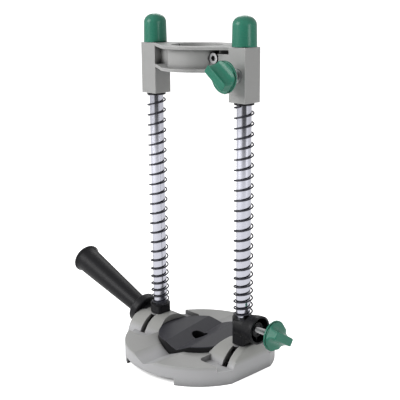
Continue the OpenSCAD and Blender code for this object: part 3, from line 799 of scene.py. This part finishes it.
def round_wire(wire_r, sides, material):
    """Sweeps a round wire along a line at every pose, so that a coil that closes up keeps its wire."""
    tree = bpy.data.node_groups.new("round_wire", "GeometryNodeTree")
    for way in ("INPUT", "OUTPUT"):
        tree.interface.new_socket("Geometry", in_out=way, socket_type="NodeSocketGeometry")
    line = tree.nodes.new("NodeGroupInput")
    path = tree.nodes.new("GeometryNodeMeshToCurve")
    ring = tree.nodes.new("GeometryNodeCurvePrimitiveCircle")
    sweep = tree.nodes.new("GeometryNodeCurveToMesh")
    smooth = tree.nodes.new("GeometryNodeSetShadeSmooth")
    coat = tree.nodes.new("GeometryNodeSetMaterial")
    wire = tree.nodes.new("NodeGroupOutput")
    ring.inputs["Resolution"].default_value = sides
    ring.inputs["Radius"].default_value = wire_r
    sweep.inputs["Fill Caps"].default_value = True
    coat.inputs["Material"].default_value = material
    for giver, taker, socket in (
        (line, path, "Mesh"),
        (path, sweep, "Curve"),
        (ring, sweep, "Profile Curve"),
        (sweep, smooth, 0),
        (smooth, coat, "Geometry"),
        (coat, wire, 0),
    ):
        tree.links.new(giver.outputs[0], taker.inputs[socket])
    return tree


class STAND_OT_springs(bpy.types.Operator):
    """Winds the two return springs, which on the real stand close up as the yoke comes down"""

    bl_idname = "stand.springs"
    bl_label = "Wind springs"

    wire_sides = 12
    steps_a_turn = 36
    grain_size = 0.8 * MM
    grain_depth = 0.005 * MM

    def wind(self, side, start, turns, sizes, sweep, material):
        """Draws a coil's middle line round a rod and fits it in place of the spring's node."""
        name = f"{side}_return_spring"
        node = f"spring_{side}"
        corner_a, corner_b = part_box(node)
        rod = middle(f"rod_{side}")
        wire_r = sizes.wire_d / 2
        foot_h = corner_a.z + wire_r
        reach = (corner_b.x - corner_a.x) / 2 - wire_r
        length = corner_b.z - corner_a.z - sizes.wire_d
        closing = sizes.closing_turns
        pitch = (length - closing * sizes.closed_pitch / 2) / (turns - closing / 2)
        points = []
        for i in range(round(turns * self.steps_a_turn) + 1):
            turn = i / self.steps_a_turn
            around = start + FULL_TURN * turn
            rise = coil_rise(turn, closing, sizes.closed_pitch, pitch)
            points.append((rod.x + reach * math.cos(around), reach * math.sin(around), foot_h + rise))
        line = bpy.data.meshes.new(name)
        line.from_pydata(points, [(i, i + 1) for i in range(len(points) - 1)], [])
        line.materials.append(material)
        spring = bpy.data.objects.new(name, line)
        bpy.context.scene.collection.objects.link(spring)
        spring.modifiers.new("round_wire", "NODES").node_group = sweep
        fit(spring, "posts", node)
        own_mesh(spring)

    def execute(self, context):
        sizes = context.scene.stand_wire
        black = context.scene.stand_finishes.spring
        finish = Finish("spring_wire")
        grain = finish.noise(self.grain_size, detail=2.0)
        material = finish.shade(
            Base_Color=finish.blend(grain, black, shaded(black, 2.2)),
            Metallic=0.35,
            Roughness=0.34 + 0.15 * grain,
            Normal=finish.relief(grain, self.grain_depth),
        )
        sweep = round_wire(sizes.wire_d / 2, self.wire_sides, material)
        self.wind("left", sizes.left_start, sizes.left_turns, sizes, sweep, material)
        self.wind("right", sizes.right_start, sizes.right_turns, sizes, sweep, material)
        return {"FINISHED"}


class STAND_OT_threads(bpy.types.Operator):
    """Cuts the threads of the two lock studs"""

    bl_idname = "stand.threads"
    bl_label = "Cut threads"

    columns = 24
    rows_a_pitch = 6
    depth_share = 0.6

    def cut(self, name, body, axis, pitch, material):
        """A stud whose radius rises and falls once a pitch, a step further along at each column."""
        node = f"{body}_stud"
        corner_a, corner_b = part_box(node)
        spans = [far - near for near, far in zip(corner_a, corner_b)]
        length = max(spans)
        crest_r = min(spans) / 2
        depth = self.depth_share * pitch
        start = middle(node) - axis * (length / 2)
        turn_to = axis.to_track_quat("Z", "Y").to_matrix()
        rows = math.ceil(length / pitch * self.rows_a_pitch)
        rings = []
        for i in range(rows + 1):
            along = length * i / rows
            ring = []
            for k in range(self.columns):
                turn = FULL_TURN * k / self.columns
                phase = (along / pitch - k / self.columns) % 1.0
                radius = crest_r - depth * abs(2 * phase - 1)
                point = Vector((radius * math.cos(turn), radius * math.sin(turn), along))
                ring.append(start + turn_to @ point)
            rings.append(ring)
        skin(name, rings, material, body, node)

    def execute(self, context):
        pitch = context.scene.stand_wire.thread_pitch
        material = bpy.data.materials["zinc_plating"]
        self.cut("angle_lock_thread", "angle_lock", Vector((1, 0, 0)), pitch, material)
        self.cut("height_lock_thread", "height_lock", Vector((0, -1, 0)), pitch, material)
        return {"FINISHED"}


class STAND_OT_stage(bpy.types.Operator):
    """Lays the floor, hangs the lamps and lights the room"""

    bl_idname = "stand.stage"
    bl_label = "Build stage"

    floor_half = 60.0
    cloud_size = 0.4
    floor_span = 5.0
    unlit_from = 0.75
    unlit_to = 1.25
    rim_span = 0.2
    rim_from = 0.054
    rim_to = 0.064
    lamps = (
        ("key", (-0.5, -1.05, 0.72), 0.7),
        ("fill", (1.2, -0.05, 0.35), 0.4),
        ("back", (-0.7, 0.8, 0.9), 0.6),
    )

    def lamp(self, name, place, size, power, aim):
        """A soft square lamp that points at the camera's aim."""
        light = bpy.data.lights.new(name, "AREA")
        light.size = size
        light.energy = power
        thing = bpy.data.objects.new(name, light)
        thing.location = place
        thing.rotation_euler = (Vector(place) - aim).to_track_quat("Z", "Y").to_euler()
        bpy.context.scene.collection.objects.link(thing)

    def floor(self, view, front):
        """A pale floor that keeps the shadow; far in front it is unlit in glossy metal."""
        mesh = bmesh.new()
        corners = [(-1, -1), (1, -1), (1, 1), (-1, 1)]
        half = self.floor_half
        mesh.faces.new([mesh.verts.new((x * half, y * half, 0.0)) for x, y in corners])
        ground = as_object("floor", mesh)
        finish = Finish("floor")
        spot = finish.add("ShaderNodeNewGeometry", {}, {}, "Position")
        way = finish.add("ShaderNodeVectorMath", {"operation": "NORMALIZE"}, {0: spot})
        far = finish.rise(
            finish.along(spot, front) * (1 / self.floor_span),
            self.unlit_from / self.floor_span,
            self.unlit_to / self.floor_span,
        )
        ahead = finish.rise(finish.along(way, front), 0.71, 0.9)
        mirrored = finish.ray("Glossy")
        unlit = mirrored * (far * ahead)
        tint = finish.blend(finish.noise(self.cloud_size), grey(0.86), grey(0.88))
        colour = finish.blend(0.9 * unlit, tint, grey(0.02))
        diffuse = finish.add("ShaderNodeBsdfDiffuse", {}, {"Color": colour})
        away = finish.add("ShaderNodeVectorMath", {"operation": "LENGTH"}, {0: spot}, "Value")
        clear = finish.rise(
            away * (1 / self.rim_span),
            self.rim_from / self.rim_span,
            self.rim_to / self.rim_span,
        )
        shown = finish.ray("Camera") + finish.ray("Transmission") + 0.5 * (mirrored - unlit)
        lift = finish.add("ShaderNodeEmission", {}, {"Strength": clear * shown * view.floor_lift})
        both = finish.add("ShaderNodeAddShader", {}, {0: diffuse, 1: lift})
        finish.add("ShaderNodeOutputMaterial", {}, {"Surface": both})
        ground.data.materials.append(finish.material)

    def sky(self, view, front):
        """An even light; white to the camera, and a little darker behind the stand in glossy metal."""
        world = bpy.data.worlds.new("studio")
        bpy.context.scene.world = world
        air = Shader(world)
        way = air.add("ShaderNodeTexCoord", {}, {}, "Generated")
        behind = air.rise(-1 * air.along(way, front), 0.5, 0.9)
        mirrored = air.ray("Glossy")
        plain = air.ray("Camera") + air.ray("Transmission")
        shown = plain + mirrored * (1 - (1 - view.far_wall) * behind)
        strength = shown + view.sky * (1 - plain - mirrored)
        light = air.add("ShaderNodeBackground", {}, {"Color": rgba(EVEN), "Strength": strength})
        air.add("ShaderNodeOutputWorld", {}, {"Surface": light})

    def execute(self, context):
        view = context.scene.stand_view
        aim = Vector(view.aim)
        front = (math.sin(view.azimuth), -math.cos(view.azimuth), 0.0)
        self.floor(view, front)
        for name, place, size in self.lamps:
            self.lamp(name, place, size, getattr(view, name), aim)
        self.sky(view, front)
        context.scene.view_settings.view_transform = "Standard"
        return {"FINISHED"}


class STAND_OT_camera(bpy.types.Operator):
    """Sets the camera at the photograph's viewing angle"""

    bl_idname = "stand.camera"
    bl_label = "Place camera"

    sensor_width = 36.0
    nearest = 0.01

    def execute(self, context):
        view = context.scene.stand_view
        toward = Vector((
            math.sin(view.azimuth) * math.cos(view.elevation),
            -math.cos(view.azimuth) * math.cos(view.elevation),
            math.sin(view.elevation),
        ))
        level_right = Vector((math.cos(view.azimuth), math.sin(view.azimuth), 0.0))
        level_up = toward.cross(level_right)
        right = math.cos(view.roll) * level_right + math.sin(view.roll) * level_up
        up = toward.cross(right)
        turn = Matrix((right, up, toward)).transposed().to_4x4()
        lens = bpy.data.cameras.new("photo_view")
        lens.lens = view.lens
        lens.sensor_width = self.sensor_width
        lens.clip_start = self.nearest
        camera = bpy.data.objects.new("photo_view", lens)
        camera.matrix_world = Matrix.Translation(Vector(view.aim) + view.distance * toward) @ turn
        context.scene.collection.objects.link(camera)
        context.scene.camera = camera
        return {"FINISHED"}


class STAND_PT_looks(bpy.types.Panel):
    """Lists the stand's finishes, sizes and steps"""

    bl_idname = "STAND_PT_looks"
    bl_label = "Drill stand"
    bl_space_type = "VIEW_3D"
    bl_region_type = "UI"
    bl_category = "Drill stand"

    def draw(self, context):
        for name in GROUPS:
            group = getattr(context.scene, name)
            box = self.layout.box()
            for key in group.__annotations__:
                box.prop(group, key)
        for step in STEPS:
            self.layout.operator(step.bl_idname)


GROUPS = {
    "stand_finishes": StandFinishes,
    "stand_moulds": StandMoulds,
    "stand_wire": StandWire,
    "stand_view": StandView,
}
STEPS = (
    STAND_OT_camera,
    STAND_OT_castings,
    STAND_OT_plastics,
    STAND_OT_metals,
    STAND_OT_caps,
    STAND_OT_knobs,
    STAND_OT_springs,
    STAND_OT_threads,
    STAND_OT_stage,
)
CLASSES = (*GROUPS.values(), *STEPS, STAND_PT_looks)


def register():
    for each in CLASSES:
        bpy.utils.register_class(each)
    for name, group in GROUPS.items():
        setattr(bpy.types.Scene, name, PointerProperty(type=group))


def unregister():
    for name in GROUPS:
        delattr(bpy.types.Scene, name)
    for each in reversed(CLASSES):
        bpy.utils.unregister_class(each)


def main():
    register()
    for step in STEPS:
        family, action = step.bl_idname.split(".")
        getattr(getattr(bpy.ops, family), action)()


if __name__ == "__main__":
    main()
